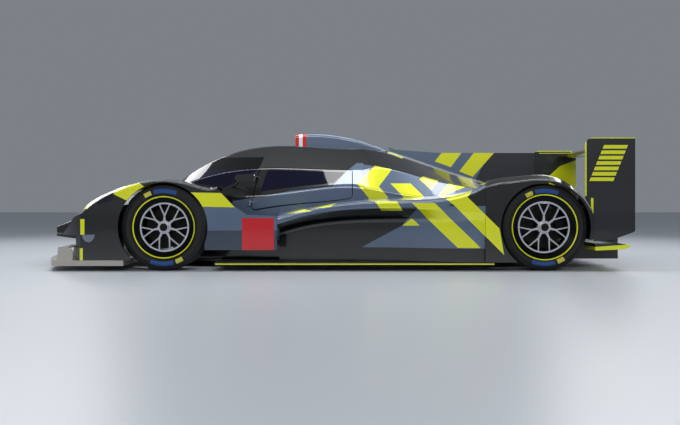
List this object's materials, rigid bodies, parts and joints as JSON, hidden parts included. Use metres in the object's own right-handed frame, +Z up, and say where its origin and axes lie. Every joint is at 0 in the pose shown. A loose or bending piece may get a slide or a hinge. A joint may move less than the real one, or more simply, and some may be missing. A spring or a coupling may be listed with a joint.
{
  "type": "closed-cockpit sports prototype race car",
  "caption": "Low closed-cockpit endurance racing car with shark fin, rear wing, roof scoop, upward-swinging doors, steering and rolling wheels.",
  "frame": {"origin": "on the road, below the middle of the car's length and width", "axes": "+X from nose to tail, +Y to the car's right, +Z up"},
  "size_m": [4.668, 1.9, 1.1166],
  "materials": {
    "blue_grey": "metallic gloss",
    "body_black": "gloss",
    "carbon": "satin",
    "cast_metal": "matte",
    "cockpit_black": "gloss",
    "dark_steel": "satin",
    "lamp_glass": "gloss",
    "red_lamp": "gloss",
    "seat_fabric": "matte",
    "splitter_beige": "satin",
    "tinted_glass": "gloss",
    "tyre": "matte",
    "wheel_silver": "satin",
    "yellow": "gloss"
  },
  "bodies": {
    "root": {"air_scoop": "blue_grey", "dashboard": "carbon", "diffuser": "carbon", "endplates": "body_black", "engine_cover": "blue_grey", "fin": "blue_grey", "floor": "carbon", "front_fenders": "body_black", "front_suspension": "dark_steel", "headlamps": "lamp_glass", "mirrors": "body_black", "nose": "body_black", "powertrain": "cast_metal", "rear_fenders": "body_black", "rear_suspension": "dark_steel", "rear_wing": "body_black", "rear_winglets": "body_black", "seat": "seat_fabric", "side_panels": "blue_grey", "sidepods": "body_black", "sill_strips": "yellow", "splitter": "splitter_beige", "tail_lamps": "red_lamp", "tail_panel": "carbon", "tow_eye": "dark_steel", "tub": "cockpit_black", "windscreen": "tinted_glass"},
    "door_left": {"door_left": "blue_grey", "window_left": "tinted_glass"},
    "knuckle_left": {"knuckle_left": "dark_steel"},
    "door_right": {"door_right": "blue_grey", "window_right": "tinted_glass"},
    "knuckle_right": {"knuckle_right": "dark_steel"},
    "wheel_front_left": {"tyre_front_left": "tyre", "rim_front_left": "wheel_silver"},
    "wheel_front_right": {"tyre_front_right": "tyre", "rim_front_right": "wheel_silver"},
    "wheel_rear_left": {"tyre_rear_left": "tyre", "rim_rear_left": "wheel_silver"},
    "wheel_rear_right": {"tyre_rear_right": "tyre", "rim_rear_right": "wheel_silver"}
  },
  "joints": [
    {"name": "door_left_hinge", "type": "hinge", "parent": "root", "child": "door_left", "pos_m": [-0.658, -0.616, 0.47], "axis": [-0.1592, -0.3071, -0.9383], "range_deg": [0, 55]},
    {"name": "door_right_hinge", "type": "hinge", "parent": "root", "child": "door_right", "pos_m": [-0.658, 0.616, 0.47], "axis": [0.1592, -0.3071, 0.9383], "range_deg": [0, 55]},
    {"name": "steer_left", "type": "hinge", "parent": "root", "child": "knuckle_left", "pos_m": [-1.279, -0.735, 0.334], "axis": [0, 0, 1], "range_deg": [-18, 18]},
    {"name": "steer_right", "type": "hinge", "parent": "root", "child": "knuckle_right", "pos_m": [-1.279, 0.735, 0.334], "axis": [0, 0, 1], "range_deg": [-18, 18]},
    {"name": "spin_front_left", "type": "hinge", "parent": "knuckle_left", "child": "wheel_front_left", "pos_m": [-1.279, -0.77, 0.334], "axis": [0, 1, 0], "continuous": true},
    {"name": "spin_front_right", "type": "hinge", "parent": "knuckle_right", "child": "wheel_front_right", "pos_m": [-1.279, 0.77, 0.334], "axis": [0, 1, 0], "continuous": true},
    {"name": "spin_rear_left", "type": "hinge", "parent": "root", "child": "wheel_rear_left", "pos_m": [1.639, -0.77, 0.334], "axis": [0, 1, 0], "continuous": true},
    {"name": "spin_rear_right", "type": "hinge", "parent": "root", "child": "wheel_rear_right", "pos_m": [1.639, 0.77, 0.334], "axis": [0, 1, 0], "continuous": true}
  ],
  "couplings": [
    {"joint": "steer_right", "follows": "steer_left", "ratio": 1}
  ]
}
